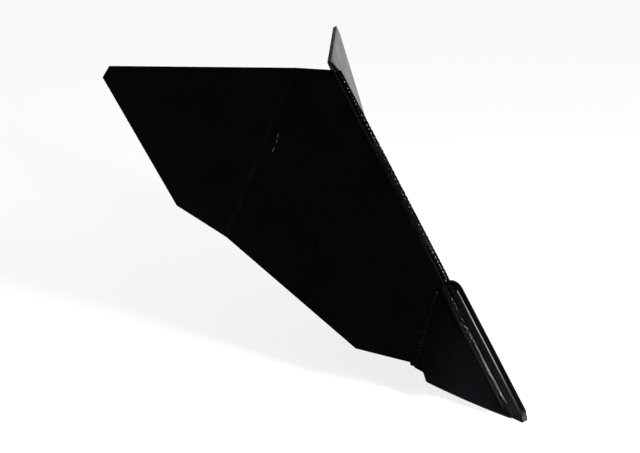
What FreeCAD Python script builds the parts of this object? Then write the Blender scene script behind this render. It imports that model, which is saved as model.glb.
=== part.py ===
import FreeCAD, Part
import math
import os
import Sketcher
from FreeCAD import Placement, Rotation, Vector

# Tiller ridger: two bent mouldboards welded along a raked ridge, a point bar with share plates below,
# and a tine plate and a cross stay between the wings.
# Right-handed frame, +Z up, travel towards -Y, left side at +X.
# The origin is the middle of the tine plate's seat, halfway between the two bolt holes.

# Driving dimensions in millimetres and degrees: alias, value, what it is
DIMENSIONS = [
    ("wing_plate", 5, "thickness of the mouldboards"),
    ("ridge_slope_angle", 49, "slope of the ridge from level"),
    ("ridge_half_angle", 38.8, "half the angle between the front panels, square to the ridge"),
    ("ridge_length", 260, "ridge from the top down to the point bar"),
    ("front_top", 50, "top edge of the front panel, ridge to fold"),
    ("front_top_angle", 56.2, "between the ridge and the front panel's top edge"),
    ("fold_angle", 50.6, "between the ridge and the fold"),
    ("fold_length", 204, "fold from the top edge down to the lower edge"),
    ("fold_bend_angle", 12.8, "turn of the rear panel at the fold"),
    ("fold_radius", 30, "radius of the fold on its hollow side"),
    ("rear_top", 226, "top edge of the rear panel, fold to outer corner"),
    ("rear_top_angle", 68.3, "between the fold and the rear panel's top edge"),
    ("rear_low_out", 65, "lower outer corner, out from the fold"),
    ("rear_low_down", 193, "lower outer corner, down along the fold"),
    ("corner_clip", 15, "chamfer of the top outer corner"),
    ("heel_drop", 19, "lower corner of the front panel, past the ridge's lower end"),
    ("heel_out", 123.5, "lower corner of the front panel, out from the ridge"),
    ("seam_drop", 61.5, "rear end of the share seam, past the ridge's lower end"),
    ("seam_out", 74.2, "rear end of the share seam, out from the ridge"),
    ("share_plate", 6, "thickness of the share plates"),
    ("ear_drop", 4.5, "share's ear behind the seam, down from the seam's rear end"),
    ("ear_over", 1.3, "share's ear behind the seam, out from the seam's rear end"),
    ("neck_drop", 8.5, "hollow in the share's rear edge, down from the ear"),
    ("neck_in", 5.9, "hollow in the share's rear edge, in from the ear"),
    ("share_heel_drop", 10.5, "lower rear corner of the share, down from the hollow"),
    ("share_heel_over", 1.7, "lower rear corner of the share, out from the hollow"),
    ("point_drop", 83, "tip of the share, down from its lower rear corner"),
    ("share_belly", 1.6, "bow of the share's lower edge"),
    ("share_bevel", 3, "ground bevel inside the share's lower edge"),
    ("bar_width", 10, "width of the point bar"),
    ("bar_depth", 25, "depth of the point bar, front to back"),
    ("bar_stand", 8.6, "point bar standing in front of the ridge"),
    ("bar_shoulder", 16, "radius of the point bar's upper front corner"),
    ("bar_bevel_long", 11, "bevel at the point bar's lower end, along it"),
    ("bar_bevel_deep", 4.8, "bevel at the point bar's lower end, across it"),
    ("tine_plate", 8, "thickness of the tine plate"),
    ("seat_depth", 52, "tine seat behind the ridge's outer corner"),
    ("tine_plate_top", 5, "upper edge of the tine plate, along the ridge"),
    ("tine_plate_length", 130, "length of the tine plate"),
    ("tine_plate_bevel", 5, "weld bevel at the tine plate's rear corners"),
    ("tine_weld_sink", 0.4, "crown of the tine plate's welds below its seat"),
    ("bolt_hole", 13, "bolt holes in the tine plate"),
    ("bolt_spacing", 50, "between the two bolt holes"),
    ("bolt_centre_drop", 60, "middle of the two bolt holes below the tine plate's upper edge"),
    ("stay_thickness", 6, "thickness of the cross stay"),
    ("stay_height", 30, "height of the cross stay"),
    ("stay_back", 105, "cross stay's rear face behind the ridge top"),
    ("stay_drop", 62, "cross stay's upper edge below the ridge top"),
    ("weld_pitch", 9, "pitch of the weld ripples outside"),
    ("inner_weld_pitch", 12, "pitch of the weld ripples between the wings"),
    ("weld_ripple", 0.5, "height of the weld ripples"),
    ("weld_end", 3, "tapered end of a weld bead"),
    ("ridge_weld_throat", 7, "ridge weld from root to crown"),
    ("ridge_weld_drop", 2, "ridge weld's upper end below the top edges"),
    ("bar_weld_leg", 5, "leg of the point bar's welds"),
    ("bar_weld_throat", 2.9, "point bar's welds from root to crown"),
    ("bar_weld_start", 3, "point bar's welds below its upper end"),
    ("bar_weld_stop", 23, "point bar's welds end above the tip"),
    ("back_weld_leg", 3, "leg of the point bar's welds behind the shares"),
    ("back_weld_throat", 3.1, "point bar's welds behind the shares from root to crown"),
    ("back_weld_stop", 43, "point bar's welds behind the shares end above the tip"),
    ("seam_weld_leg", 4, "half width of the seam welds"),
    ("seam_weld_throat", 1.7, "height of the seam welds"),
    ("seam_weld_start", 6, "seam welds' start from the point bar's end of the seam"),
    ("seam_weld_over", 3, "seam welds running past the rear end of the seam"),
    ("stay_weld_leg", 5, "leg of the cross stay's rear welds"),
    ("stay_weld_throat", 3.2, "cross stay's rear welds from root to crown"),
    ("stay_front_leg", 3.5, "leg of the cross stay's front welds"),
    ("stay_front_throat", 3.6, "cross stay's front welds from root to crown"),
    ("inner_weld_inset", 4, "welds between the wings stop short of their plate's ends"),
]

doc = FreeCAD.newDocument("tiller_ridger")
sheet = doc.addObject("Spreadsheet::Sheet", "Sizes")
for row, (alias, size, note) in enumerate(DIMENSIONS, start=1):
    sheet.set(f"A{row}", note)
    sheet.set(f"B{row}", str(size))
    sheet.setAlias(f"B{row}", alias)
doc.recompute()


def measure(expression):
    """Value of an expression over the sheet, as a plain number."""
    result = sheet.evalExpression(expression)
    return float(getattr(result, "Value", result))


def total(*terms):
    return " + ".join(f"({term})" for term in terms)


# Expressions shared by several pieces.
# Across a front panel distances count out from the ridge, and along it down the ridge.
GAMMA = "Sizes.ridge_half_angle"
EDGE_OUT = f"Sizes.wing_plate / tan({GAMMA})"
INNER_CORNER = f"Sizes.wing_plate / sin({GAMMA})"
BAR_HALF = "Sizes.bar_width / 2"
BAR_SEAT_OUT = f"(Sizes.bar_width / 2 + Sizes.wing_plate * cos({GAMMA})) / sin({GAMMA})"
FOLD_OUT = "Sizes.front_top * sin(Sizes.front_top_angle)"
FOLD_UP = "Sizes.front_top * cos(Sizes.front_top_angle)"
SEAM_RUN = f"sqrt((Sizes.seam_out - {BAR_SEAT_OUT})^2 + Sizes.seam_drop^2)"
EAR_OUT = "(Sizes.seam_out + Sizes.ear_over)"
NECK_OUT = f"({EAR_OUT} - Sizes.neck_in)"
SHARE_HEEL_OUT = f"({NECK_OUT} + Sizes.share_heel_over)"
SEAM_ALONG = "(Sizes.ridge_length + Sizes.seam_drop)"
EAR_ALONG = f"({SEAM_ALONG} + Sizes.ear_drop)"
NECK_ALONG = f"({EAR_ALONG} + Sizes.neck_drop)"
SHARE_HEEL_ALONG = f"({NECK_ALONG} + Sizes.share_heel_drop)"
TIP_ALONG = f"({SHARE_HEEL_ALONG} + Sizes.point_drop)"
BOLT_CENTRE_ALONG = "(Sizes.tine_plate_top + Sizes.bolt_centre_drop)"
REACH = "(Sizes.ridge_length + Sizes.rear_top)"
BEVEL_ANGLE = 45

# Shape of every weld bead, as shares: how much of its height above the toes it loses at its ends,
# the crest's place along a ripple, and how far round from the crown towards the toes the ripples reach
END_DROP = 0.6
CREST_AT = 0.6
RIPPLE_SPREAD = 0.75


def inner_half_width(depth):
    """Half the room between the front panels' inner faces at a depth behind the ridge."""
    return f"({depth} - {INNER_CORNER}) * tan({GAMMA})"


# Frame of the ridge: local Z runs up the ridge, local Y goes back square to it, local X is sideways.
ridge_turn = Rotation(Vector(1, 0, 0), measure("Sizes.ridge_slope_angle") - 90)
seat_in_ridge = Vector(0, measure("Sizes.seat_depth"), -measure(BOLT_CENTRE_ALONG))
ridge_frame = Placement(-ridge_turn.multVec(seat_in_ridge), ridge_turn)

# Frame of the left front panel: its outer face is the local XZ plane, local Y points inwards.
half_angle = measure(GAMMA)
panel_frame = ridge_frame * Placement(Vector(), Rotation(Vector(0, 0, 1), 90 - half_angle))

# Frame of the left rear panel: origin at the fold's top, local X outwards, local Z up the fold.
fold_turn = Rotation(Vector(0, 1, 0), -measure("Sizes.fold_angle"))
fold_place = Placement(Vector(measure(FOLD_OUT), 0, measure(FOLD_UP)), fold_turn)
bend_turn = Placement(Vector(), Rotation(Vector(0, 0, 1), -measure("Sizes.fold_bend_angle")))
rear_frame = panel_frame * fold_place * bend_turn


def origin_feature(body, role):
    return next(item for item in body.Origin.OriginFeatures if item.Role == role)


def new_body(label, place):
    body = doc.addObject("PartDesign::Body", label)
    body.Label = label
    body.Placement = place
    return body


def new_sketch(body, name, role):
    sketch = body.newObject("Sketcher::SketchObject", name)
    sketch.AttachmentSupport = [(origin_feature(body, role), "")]
    sketch.MapMode = "FlatFace"
    return sketch


def outline(sketch, corners, arcs=None):
    """Closed outline through corners given as pairs of expressions.

    arcs maps the number of an edge to its radius and the side it bows to, left +1 or right -1.
    """
    arcs = arcs or {}
    points = [Vector(measure(across), measure(up), 0) for across, up in corners]
    first = sketch.GeometryCount
    count = len(points)
    ends = []
    for number, start in enumerate(points):
        end = points[(number + 1) % count]
        if number in arcs:
            radius = measure(arcs[number][0])
            chord = end - start
            bow = radius - math.sqrt(radius**2 - chord.Length**2 / 4)
            left = Vector(-chord.y, chord.x, 0).normalize()
            middle = (start + end) * 0.5 + left * bow * arcs[number][1]
            edge = sketch.addGeometry(Part.Arc(start, middle, end), False)
        else:
            edge = sketch.addGeometry(Part.LineSegment(start, end), False)
        forwards = (sketch.getPoint(edge, 1) - start).Length < 1e-6
        ends.append((1, 2) if forwards else (2, 1))
    for number in range(count):
        follower = (number + 1) % count
        joint = ("Coincident", first + number, ends[number][1], first + follower, ends[follower][0])
        sketch.addConstraint(Sketcher.Constraint(*joint))
    for number, (across, up) in enumerate(corners):
        for kind, expression, size in (("DistanceX", across, points[number].x),
                                       ("DistanceY", up, points[number].y)):
            held = Sketcher.Constraint(kind, -1, 1, first + number, ends[number][0], size)
            bound = sketch.addConstraint(held)
            sketch.setExpression(f"Constraints[{bound}]", expression)
    for number, (radius, _) in arcs.items():
        held = Sketcher.Constraint("Radius", first + number, measure(radius))
        bound = sketch.addConstraint(held)
        sketch.setExpression(f"Constraints[{bound}]", radius)


def pad(body, sketch, length, middle=False, reverse=False):
    feature = body.newObject("PartDesign::Pad", sketch.Name + "_pad")
    feature.Profile = sketch
    feature.setExpression("Length", length)
    feature.Midplane = middle
    feature.Reversed = reverse
    doc.recompute()
    return feature


def cut_through(body, sketch):
    """Pocket of the sketch, right through the body to both sides."""
    before = body.Shape.Volume
    feature = body.newObject("PartDesign::Pocket", sketch.Name + "_pocket")
    feature.Profile = sketch
    feature.Type = "ThroughAll"
    feature.Midplane = True
    doc.recompute()
    if not body.Shape.Volume < before:
        raise RuntimeError(f"{feature.Name} cuts nothing")
    return feature


def edge_near(shape, point, direction):
    """Name of the straight edge along a direction whose line passes nearest to a point."""
    best = None
    for number, edge in enumerate(shape.Edges, start=1):
        if edge.Curve.TypeId != "Part::GeomLine":
            continue
        if edge.Curve.Direction.cross(direction).Length > 0.3:
            continue
        gap = edge.distToShape(Part.Vertex(point))[0]
        if best is None or gap < best[0]:
            best = (gap, f"Edge{number}")
    return best[1]


def mirrored(label, source):
    """The other side's piece, mirrored over the middle plane."""
    copy = doc.addObject("Part::Mirroring", label)
    copy.Label = label
    copy.Source = source
    copy.Base = Vector(0, 0, 0)
    copy.Normal = Vector(1, 0, 0)
    return copy


# Mouldboards

def make_wing():
    """Left mouldboard: a bent plate section drawn square to its fold, cut to the blank's outline."""
    body = new_body("wing_left", panel_frame)
    section = new_sketch(body, "wing_section", "XY_Plane")
    section.AttachmentOffset = fold_place
    section.setExpression("AttachmentOffset.Base.x", FOLD_OUT)
    section.setExpression("AttachmentOffset.Base.z", FOLD_UP)
    bend = "Sizes.fold_bend_angle"
    tangent = f"Sizes.fold_radius * tan({bend} / 2)"
    outer_start = (f"{tangent} * cos({bend})", f"-{tangent} * sin({bend})")
    outer_end = (f"{REACH} * cos({bend})", f"-{REACH} * sin({bend})")

    def inner(point):
        return (total(point[0], f"Sizes.wing_plate * sin({bend})"),
                total(point[1], f"Sizes.wing_plate * cos({bend})"))

    corners = [(f"-{REACH}", "0"), (f"-{tangent}", "0"), outer_start, outer_end,
               inner(outer_end), inner(outer_start), (f"-{tangent}", "Sizes.wing_plate"),
               (f"-{REACH}", "Sizes.wing_plate")]
    arcs = {1: ("Sizes.fold_radius", 1), 5: ("Sizes.fold_radius + Sizes.wing_plate", -1)}
    outline(section, corners, arcs)
    pad(body, section, f"3 * {REACH}", middle=True)

    blank = new_sketch(body, "wing_blank", "XZ_Plane")

    def behind_fold(out, up):
        """Point of the rear panel seen square to the front panel."""
        flat = f"({out}) * cos({bend})"
        return (total(FOLD_OUT, f"{flat} * cos(Sizes.fold_angle)", f"-({up}) * sin(Sizes.fold_angle)"),
                total(FOLD_UP, f"{flat} * sin(Sizes.fold_angle)", f"({up}) * cos(Sizes.fold_angle)"))

    far = f"2 * {REACH}"
    outline(blank, [(f"-{far}", f"-{far}"), (far, f"-{far}"), (far, far), (f"-{far}", far)])
    outline(blank, [
        (EDGE_OUT, f"{EDGE_OUT} / tan(Sizes.front_top_angle)"),
        (EDGE_OUT, "-Sizes.ridge_length"),
        (BAR_SEAT_OUT, "-Sizes.ridge_length"),
        ("Sizes.seam_out", f"-{SEAM_ALONG}"),
        ("Sizes.heel_out", "-Sizes.ridge_length - Sizes.heel_drop"),
        behind_fold("0", "-Sizes.fold_length"),
        behind_fold("Sizes.rear_low_out", "-Sizes.rear_low_down"),
        behind_fold("Sizes.rear_top * sin(Sizes.rear_top_angle)",
                    "-Sizes.rear_top * cos(Sizes.rear_top_angle)"),
        (FOLD_OUT, FOLD_UP),
    ])
    cut_through(body, blank)

    top = Vector(measure("Sizes.rear_top * sin(Sizes.rear_top_angle)"), 0,
                 -measure("Sizes.rear_top * cos(Sizes.rear_top_angle)"))
    corner = rear_frame.multVec(top)
    corner_line = panel_frame.Rotation.multVec(Vector(0, 1, 0))
    blank_cut = body.Tip
    corner_edge = edge_near(body.Shape, corner, corner_line)
    clip = body.newObject("PartDesign::Chamfer", "corner_chamfer")
    clip.Base = (blank_cut, [corner_edge])
    clip.setExpression("Size", "Sizes.corner_clip")
    doc.recompute()
    return body


# Share plates

def make_share():
    """Left share plate, flush with the mouldboard outside and seated on the point bar's side."""
    body = new_body("share_left", panel_frame)
    plan = new_sketch(body, "share_plan", "XZ_Plane")
    chord_half = f"sqrt({SHARE_HEEL_OUT}^2 + Sizes.point_drop^2) / 2"
    bow = "Sizes.share_belly"
    outline(plan, [
        ("0", "-Sizes.ridge_length"),
        (BAR_SEAT_OUT, "-Sizes.ridge_length"),
        ("Sizes.seam_out", f"-{SEAM_ALONG}"),
        (EAR_OUT, f"-{EAR_ALONG}"),
        (NECK_OUT, f"-{NECK_ALONG}"),
        (SHARE_HEEL_OUT, f"-{SHARE_HEEL_ALONG}"),
        ("0", f"-{TIP_ALONG}"),
    ], {5: (f"(({chord_half})^2 + {bow}^2) / (2 * {bow})", 1)})
    pad(body, plan, "Sizes.share_plate", reverse=True)

    front = new_sketch(body, "share_front", "XY_Plane")
    span = REACH

    def beside_bar(along, across):
        """Point at a distance along the point bar's side and across it, towards the middle."""
        return (f"({BAR_HALF} - {across}) * sin({GAMMA}) + {along} * cos({GAMMA})",
                f"-({BAR_HALF} - {across}) * cos({GAMMA}) + {along} * sin({GAMMA})")

    outline(front, [beside_bar(f"(-{span})", "0"), beside_bar(span, "0"),
                    beside_bar(span, span), beside_bar(f"(-{span})", span)])
    beside = cut_through(body, front)

    arcs = [(panel_frame.inverse().multVec(edge.Curve.Center).y, f"Edge{number}")
            for number, edge in enumerate(body.Shape.Edges, start=1)
            if edge.Curve.TypeId == "Part::GeomCircle"]
    lower_inside = max(arcs)[1]
    bevel = body.newObject("PartDesign::Chamfer", "share_bevel")
    bevel.Base = (beside, [lower_inside])
    bevel.setExpression("Size", "Sizes.share_bevel")
    doc.recompute()
    return body


# Point bar

def make_point_bar():
    """Flat bar on edge in front of the ridge, bevelled at its end and flush with the shares below."""
    body = new_body("point_bar", ridge_frame)
    side = new_sketch(body, "bar_side", "YZ_Plane")
    front = "-Sizes.bar_stand"
    back = "(Sizes.bar_depth - Sizes.bar_stand)"
    nose = "(Sizes.bar_bevel_deep - Sizes.bar_stand)"
    rise = f"(Sizes.point_drop * cos({GAMMA}) / {SHARE_HEEL_OUT})"
    outline(side, [
        (front, "-Sizes.ridge_length - Sizes.bar_shoulder"),
        (front, f"-{TIP_ALONG} + Sizes.bar_bevel_long"),
        (nose, f"-{TIP_ALONG}"),
        (back, f"-{TIP_ALONG} + ({back} - {nose}) * {rise}"),
        (back, "-Sizes.ridge_length"),
        (f"{front} + Sizes.bar_shoulder", "-Sizes.ridge_length"),
    ], {5: ("Sizes.bar_shoulder", -1)})
    pad(body, side, "Sizes.bar_width", middle=True)
    return body


# Tine plate

def make_tine_plate():
    """Plate across the V, its sides lying on the wings' inner faces, with two bolt holes."""
    place = ridge_frame * Placement(Vector(0, 0, -measure("Sizes.tine_plate_top")), Rotation())
    body = new_body("tine_plate", place)
    section = new_sketch(body, "tine_plate_section", "XY_Plane")
    face = "(Sizes.seat_depth - Sizes.tine_plate)"
    seat = "Sizes.seat_depth"
    bevel = "(Sizes.seat_depth - Sizes.tine_plate_bevel)"
    half_seat = f"({inner_half_width(bevel)} - Sizes.tine_plate_bevel)"
    outline(section, [
        (f"-({inner_half_width(face)})", face), (inner_half_width(face), face),
        (inner_half_width(bevel), bevel), (half_seat, seat),
        (f"-{half_seat}", seat), (f"-({inner_half_width(bevel)})", bevel)])
    pad(body, section, "Sizes.tine_plate_length", reverse=True)

    holes = new_sketch(body, "bolt_holes", "XZ_Plane")
    for offset in ("Sizes.bolt_spacing / 2", "-Sizes.bolt_spacing / 2"):
        height = f"{offset} - Sizes.bolt_centre_drop"
        centre = Vector(0, measure(height), 0)
        circle = sketch_circle(holes, centre, "Sizes.bolt_hole / 2")
        held = Sketcher.Constraint("DistanceY", -1, 1, circle, 3, centre.y)
        bound = holes.addConstraint(held)
        holes.setExpression(f"Constraints[{bound}]", height)
    cut_through(body, holes)
    return body


def sketch_circle(sketch, centre, radius):
    """Circle on the sketch's upright axis with a bound radius."""
    circle = sketch.addGeometry(Part.Circle(centre, Vector(0, 0, 1), measure(radius)), False)
    sketch.addConstraint(Sketcher.Constraint("PointOnObject", circle, 3, -2))
    bound = sketch.addConstraint(Sketcher.Constraint("Radius", circle, measure(radius)))
    sketch.setExpression(f"Constraints[{bound}]", radius)
    return circle


# Cross stay

ridge_top = ridge_frame.Base
stay_back = ridge_top.y + measure("Sizes.stay_back")
stay_top = ridge_top.z - measure("Sizes.stay_drop")


def new_box(name, length, width, height, place):
    box = doc.addObject("Part::Box", name)
    box.setExpression("Length", length)
    box.setExpression("Width", width)
    box.setExpression("Height", height)
    box.Placement = place
    return box


def make_stay():
    """Flat strip between the rear panels, its ends lying on their inner faces."""
    reach = measure(REACH)
    corner = Vector(-reach, stay_back - measure("Sizes.stay_thickness"),
                    stay_top - measure("Sizes.stay_height"))
    strip = new_box("stay_strip", f"2 * {REACH}", "Sizes.stay_thickness", "Sizes.stay_height",
                    Placement(corner, Rotation()))
    outside = rear_frame * Placement(
        Vector(-reach, measure("Sizes.wing_plate") - reach, -reach), Rotation())
    trim_left = new_box("stay_trim_left", f"2 * {REACH}", REACH, f"2 * {REACH}", outside)
    trim_right = mirrored("stay_trim_right", trim_left)
    trims = doc.addObject("Part::MultiFuse", "stay_trims")
    trims.Shapes = [trim_left, trim_right]
    stay = doc.addObject("Part::Cut", "cross_stay")
    stay.Label = "cross_stay"
    stay.Base = strip
    stay.Tool = trims
    return stay


# Weld beads

def make_bead(label, root, along, middle, half_corner, leg, throat, length, pitch="Sizes.weld_pitch"):
    """Rippled bead in a corner: a crowned section on the corner's two faces, with turned ripples and ends.

    root is where the bead starts in the corner, along its run, middle the direction between the faces,
    half_corner half the angle between them, and pitch about the length of one ripple.
    """
    doc.recompute()
    toe_out = f"({leg}) * cos({half_corner})"
    toe_side = f"({leg}) * sin({half_corner})"
    sunk = f"((({leg})^2 - ({throat})^2) / (2 * (({throat}) - {toe_out})))"
    crown = f"(({throat}) + {sunk})"
    turn = Rotation(middle, along.cross(middle), along, "ZXY")
    body = new_body(label, Placement(root - middle * measure(sunk), turn))

    section = new_sketch(body, label + "_section", "XY_Plane")
    toe = total(sunk, toe_out)
    corners = [(toe, toe_side), (crown, "0"), (toe, f"-{toe_side}")]
    if not math.isclose(half_corner, 90):
        corners.append((sunk, "0"))
    outline(section, corners, {0: (crown, 1), 1: (crown, 1)})
    pad(body, section, length)

    ends = new_sketch(body, label + "_ends", "XZ_Plane")
    clear = f"({crown} + {toe_side})"
    stub = f"({crown} - {END_DROP} * ({crown} - ({toe})))"
    outline(ends, [(stub, "0"), (crown, "Sizes.weld_end"), (clear, "Sizes.weld_end"), (clear, "0")])
    outline(ends, [(crown, f"{length} - Sizes.weld_end"), (stub, length), (clear, length),
                   (clear, f"{length} - Sizes.weld_end")])
    groove(body, ends)

    count = max(2, round(measure(length) / measure(pitch)))
    step = f"({length}) / {count}"
    ripple = new_sketch(body, label + "_ripple", "XZ_Plane")
    outline(ripple, [(f"{crown} - Sizes.weld_ripple", "0"), (clear, "0"), (clear, step),
                     (f"{crown} - Sizes.weld_ripple", step), (crown, f"{step} * {CREST_AT}")])
    cut = groove(body, ripple, f"2 * {RIPPLE_SPREAD} * acos(({toe}) / {crown})")
    ripples = body.newObject("PartDesign::LinearPattern", label + "_ripples")
    ripples.Originals = [cut]
    ripples.Direction = (origin_feature(body, "Z_Axis"), [""])
    ripples.setExpression("Length", f"({length}) * {count - 1} / {count}")
    ripples.Occurrences = count
    body.Tip = ripples
    doc.recompute()
    return body


def groove(body, sketch, sweep="360"):
    """Turned cut about the body's own Z axis, centred on the sketch."""
    before = body.Shape.Volume
    feature = body.newObject("PartDesign::Groove", sketch.Name + "_groove")
    feature.Profile = sketch
    feature.ReferenceAxis = (origin_feature(body, "Z_Axis"), [""])
    feature.Midplane = True
    feature.setExpression("Angle", sweep)
    doc.recompute()
    if not body.Shape.Volume < before:
        raise RuntimeError(f"{feature.Name} cuts nothing")
    return feature


def in_ridge(x, y, z=0.0):
    return ridge_frame.Rotation.multVec(Vector(x, y, z))


def at_ridge(x, y, z):
    return ridge_frame.multVec(Vector(x, y, z))


def make_ridge_weld():
    top = measure(f"{EDGE_OUT} / tan(Sizes.front_top_angle) - Sizes.ridge_weld_drop")
    length = f"Sizes.ridge_length + {EDGE_OUT} / tan(Sizes.front_top_angle) - Sizes.ridge_weld_drop"
    return make_bead("ridge_weld", at_ridge(0, measure(INNER_CORNER), top), in_ridge(0, 0, -1),
                     in_ridge(0, -1), 90 - half_angle, "Sizes.wing_plate",
                     "Sizes.ridge_weld_throat", length)


def make_bar_weld():
    lean = math.radians(half_angle / 2)
    root = at_ridge(measure(BAR_HALF), measure(f"{BAR_HALF} / tan({GAMMA})"),
                    -measure("Sizes.ridge_length + Sizes.bar_weld_start"))
    return make_bead("bar_weld_left", root, in_ridge(0, 0, -1),
                     in_ridge(math.cos(lean), -math.sin(lean)), 90 - half_angle / 2,
                     "Sizes.bar_weld_leg", "Sizes.bar_weld_throat",
                     f"{TIP_ALONG} - Sizes.ridge_length - Sizes.bar_weld_start - Sizes.bar_weld_stop")


def make_back_weld():
    """Bead in the narrow corner between the point bar's side and the share's inner face."""
    lean = math.radians(half_angle / 2)
    depth = f"({BAR_HALF} + Sizes.share_plate / cos({GAMMA})) / tan({GAMMA})"
    root = at_ridge(measure(BAR_HALF), measure(depth),
                    -measure("Sizes.ridge_length + Sizes.bar_weld_start"))
    return make_bead("back_weld_left", root, in_ridge(0, 0, -1),
                     in_ridge(math.sin(lean), math.cos(lean)), half_angle / 2,
                     "Sizes.back_weld_leg", "Sizes.back_weld_throat",
                     f"{TIP_ALONG} - Sizes.ridge_length - Sizes.bar_weld_start - Sizes.back_weld_stop",
                     "Sizes.inner_weld_pitch")


def make_seam_weld():
    start = Vector(measure(BAR_SEAT_OUT), 0, -measure("Sizes.ridge_length"))
    end = Vector(measure("Sizes.seam_out"), 0, -measure(SEAM_ALONG))
    along = (end - start).normalize()
    root = panel_frame.multVec(start + along * measure("Sizes.seam_weld_start"))
    turn = panel_frame.Rotation
    length = f"{SEAM_RUN} - Sizes.seam_weld_start + Sizes.seam_weld_over"
    return make_bead("seam_weld_left", root, turn.multVec(along), turn.multVec(Vector(0, -1, 0)), 90,
                     "Sizes.seam_weld_leg", "Sizes.seam_weld_throat", length)


def make_tine_weld():
    """Bead in the bevel between the tine plate and the front panel, below the seat's plane."""
    bevel = "(Sizes.seat_depth - Sizes.tine_plate_bevel)"
    lean = math.radians((half_angle - BEVEL_ANGLE) / 2)
    root = at_ridge(measure(inner_half_width(bevel)), measure(bevel),
                    -measure("Sizes.tine_plate_top + Sizes.inner_weld_inset"))
    return make_bead("tine_weld_left", root, in_ridge(0, 0, -1),
                     in_ridge(math.sin(lean), math.cos(lean)), (half_angle + BEVEL_ANGLE) / 2,
                     "Sizes.tine_plate_bevel", "Sizes.tine_plate_bevel - Sizes.tine_weld_sink",
                     "Sizes.tine_plate_length - 2 * Sizes.inner_weld_inset", "Sizes.inner_weld_pitch")


def make_stay_weld(label, face, outward, leg, throat):
    """Bead between the rear panel's inner face and the stay's face at a depth, which looks outward."""
    inward = rear_frame.Rotation.multVec(Vector(0, 1, 0))
    along = inward.cross(outward).normalize()
    if along.z > 0:
        along = -along
    on_panel = rear_frame.multVec(Vector(0, measure("Sizes.wing_plate"), 0))
    height = stay_top - measure("Sizes.inner_weld_inset")
    side = on_panel.x - ((face - on_panel.y) * inward.y + (height - on_panel.z) * inward.z) / inward.x
    root = Vector(side, face, height)
    leave_stay = along.cross(outward)
    if leave_stay.dot(inward) < 0:
        leave_stay = -leave_stay
    leave_panel = along.cross(inward)
    if leave_panel.dot(outward) < 0:
        leave_panel = -leave_panel
    middle = (leave_stay + leave_panel).normalize()
    half_corner = math.degrees(leave_stay.getAngle(leave_panel)) / 2
    run = f"(Sizes.stay_height - 2 * Sizes.inner_weld_inset) / {abs(along.z)}"
    return make_bead(label, root, along, middle, half_corner, leg, throat, run, "Sizes.inner_weld_pitch")


def make_stay_rear_weld():
    return make_stay_weld("stay_weld_left", stay_back, Vector(0, 1, 0),
                          "Sizes.stay_weld_leg", "Sizes.stay_weld_throat")


def make_stay_front_weld():
    return make_stay_weld("stay_front_weld_left", stay_back - measure("Sizes.stay_thickness"),
                          Vector(0, -1, 0), "Sizes.stay_front_leg", "Sizes.stay_front_throat")


pieces = []
for left in (make_wing(), make_share(), make_bar_weld(), make_back_weld(), make_seam_weld(),
             make_tine_weld(), make_stay_rear_weld(), make_stay_front_weld()):
    pieces.append(left)
    pieces.append(mirrored(left.Label.replace("_left", "_right"), left))
pieces += [make_point_bar(), make_ridge_weld(), make_tine_plate(), make_stay()]

doc.recompute()
for item in doc.Objects:
    if "Invalid" in item.State or "Error" in item.State:
        raise RuntimeError(f"{item.Label} failed: {item.State}")

os.makedirs("parts", exist_ok=True)
for piece in pieces:
    shape = piece.Shape
    if shape.isNull() or not shape.isValid() or len(shape.Solids) != 1:
        raise RuntimeError(f"{piece.Label} is not one sound solid")
    shape.exportStep(f"parts/{piece.Label}.step")
    print(f"{piece.Label}: {shape.Volume:.0f} mm3")
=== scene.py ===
import math
import random

import bmesh
import bpy
import numpy
from bpy.props import FloatProperty, FloatVectorProperty, IntProperty, PointerProperty
from mathutils import Matrix, Vector, noise
from mathutils.bvhtree import BVHTree


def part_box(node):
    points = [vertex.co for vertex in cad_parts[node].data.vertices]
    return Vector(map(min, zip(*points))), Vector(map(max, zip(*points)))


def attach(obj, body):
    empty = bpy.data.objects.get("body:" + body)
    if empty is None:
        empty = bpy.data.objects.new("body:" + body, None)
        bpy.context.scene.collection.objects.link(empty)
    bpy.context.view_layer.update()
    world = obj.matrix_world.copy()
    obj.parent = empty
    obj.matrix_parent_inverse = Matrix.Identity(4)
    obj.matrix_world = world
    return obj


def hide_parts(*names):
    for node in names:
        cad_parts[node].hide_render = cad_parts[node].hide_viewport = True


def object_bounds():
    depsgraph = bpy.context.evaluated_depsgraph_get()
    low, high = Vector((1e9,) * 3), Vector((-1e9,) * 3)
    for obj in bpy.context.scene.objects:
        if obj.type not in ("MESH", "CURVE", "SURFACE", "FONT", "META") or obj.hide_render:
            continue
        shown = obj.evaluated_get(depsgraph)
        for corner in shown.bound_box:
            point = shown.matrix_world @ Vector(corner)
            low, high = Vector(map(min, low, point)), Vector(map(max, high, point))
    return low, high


bl_info = {
    "name": "Tiller ridger",
    "version": (1, 0, 0),
    "blender": (4, 5, 0),
    "location": "3D View > Sidebar > Ridger",
    "description": "Painted plates and weld beads of a tiller ridger, built around its packed solids",
    "category": "Object",
}

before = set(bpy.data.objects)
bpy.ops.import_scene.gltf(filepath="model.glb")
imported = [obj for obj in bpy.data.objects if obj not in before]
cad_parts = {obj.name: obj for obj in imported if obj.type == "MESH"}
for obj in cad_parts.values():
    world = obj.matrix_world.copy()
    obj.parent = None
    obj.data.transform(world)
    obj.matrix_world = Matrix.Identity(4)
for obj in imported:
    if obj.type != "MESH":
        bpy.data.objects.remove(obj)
cad_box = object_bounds()

BODY = "root"
PLATE_NODES = ["wing_left", "wing_right", "share_left", "share_right",
               "point_bar", "tine_plate", "cross_stay"]

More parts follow.
